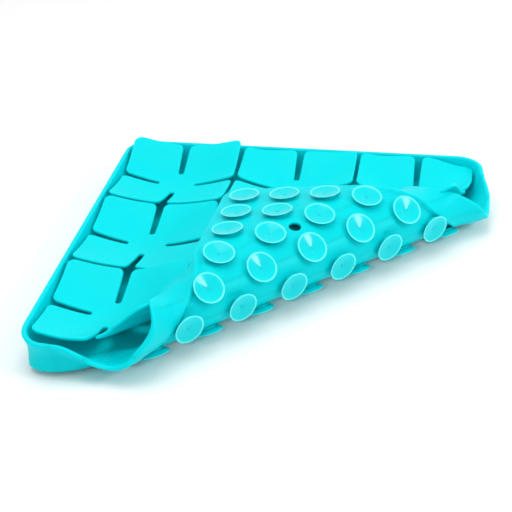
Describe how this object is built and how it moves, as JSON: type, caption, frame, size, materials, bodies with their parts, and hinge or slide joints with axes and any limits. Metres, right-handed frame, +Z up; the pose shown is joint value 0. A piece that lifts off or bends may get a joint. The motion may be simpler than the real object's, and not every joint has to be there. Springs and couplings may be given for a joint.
{
  "type": "silicone treat mat",
  "caption": "Square silicone pet treat mat with petal plates on posts inside a low rim and suction cups beneath, front right corner rolled over; it unrolls flat.",
  "frame": {"origin": "under the middle of the mat, in the plane of the suction cups' rims", "axes": "+Z up, +X to the mat's right, +Y to the mat's back; the rolled corner is at +X, -Y"},
  "size_m": [0.25, 0.25, 0.0485],
  "materials": {
    "tray_silicone": "satin moulded silicone, turquoise, slightly translucent",
    "petal_silicone": "satin moulded silicone, turquoise"
  },
  "bodies": {
    "base": {"base_sheet_with_cups": "tray_silicone", "base_rim": "tray_silicone", "post_front_left": "tray_silicone", "petals_front_left": "petal_silicone", "post_centre_left": "tray_silicone", "petals_centre_left": "petal_silicone", "post_back_left": "tray_silicone", "petals_back_left": "petal_silicone", "post_centre_middle": "tray_silicone", "petals_centre_middle": "petal_silicone", "post_back_middle": "tray_silicone", "petals_back_middle": "petal_silicone", "post_back_right": "tray_silicone", "petals_back_right": "petal_silicone"},
    "fold_1": {"fold_1_sheet_with_cups": "tray_silicone", "fold_1_rim_front": "tray_silicone", "fold_1_rim_right": "tray_silicone"},
    "fold_2": {"fold_2_sheet_with_cups": "tray_silicone", "fold_2_rim_front": "tray_silicone", "fold_2_rim_right": "tray_silicone", "post_front_middle": "tray_silicone", "petals_front_middle": "petal_silicone", "post_centre_right": "tray_silicone", "petals_centre_right": "petal_silicone"},
    "fold_3": {"fold_3_sheet_with_cups": "tray_silicone", "fold_3_rim_front": "tray_silicone", "fold_3_rim_right": "tray_silicone"},
    "fold_4": {"fold_4_sheet_with_cups": "tray_silicone", "fold_4_rim_front": "tray_silicone", "fold_4_rim_right": "tray_silicone"},
    "flap": {"flap_sheet_with_cups": "tray_silicone", "flap_rim": "tray_silicone", "post_front_right": "tray_silicone", "petals_front_right": "petal_silicone"}
  },
  "joints": [
    {"name": "corner_fold", "type": "hinge", "parent": "base", "child": "fold_1", "pos_m": [0.0195, -0.0195, 0.003], "axis": [0.7071, 0.7071, 0], "range_deg": [0, 24], "deforming": ["petals_centre_middle"]},
    {"name": "corner_fold_2", "type": "hinge", "parent": "fold_1", "child": "fold_2", "pos_m": [0.03138, -0.03138, 0.01048], "axis": [0.7071, 0.7071, 0], "range_deg": [0, 58], "deforming": ["petals_front_middle", "petals_centre_right"]},
    {"name": "corner_fold_3", "type": "hinge", "parent": "fold_2", "child": "fold_3", "pos_m": [0.03318, -0.03318, 0.02868], "axis": [0.7071, 0.7071, 0], "range_deg": [0, 56]},
    {"name": "corner_fold_4", "type": "hinge", "parent": "fold_3", "child": "fold_4", "pos_m": [0.02352, -0.02352, 0.04099], "axis": [0.7071, 0.7071, 0], "range_deg": [0, 28]},
    {"name": "corner_fold_5", "type": "hinge", "parent": "fold_4", "child": "flap", "pos_m": [0.01091, -0.01091, 0.04543], "axis": [0.7071, 0.7071, 0], "range_deg": [0, 22], "deforming": ["petals_front_right"]}
  ],
  "couplings": [
    {"joint": "corner_fold_2", "follows": "corner_fold", "ratio": 2.4166},
    {"joint": "corner_fold_3", "follows": "corner_fold", "ratio": 2.3333},
    {"joint": "corner_fold_4", "follows": "corner_fold", "ratio": 1.1666},
    {"joint": "corner_fold_5", "follows": "corner_fold", "ratio": 0.9166}
  ]
}
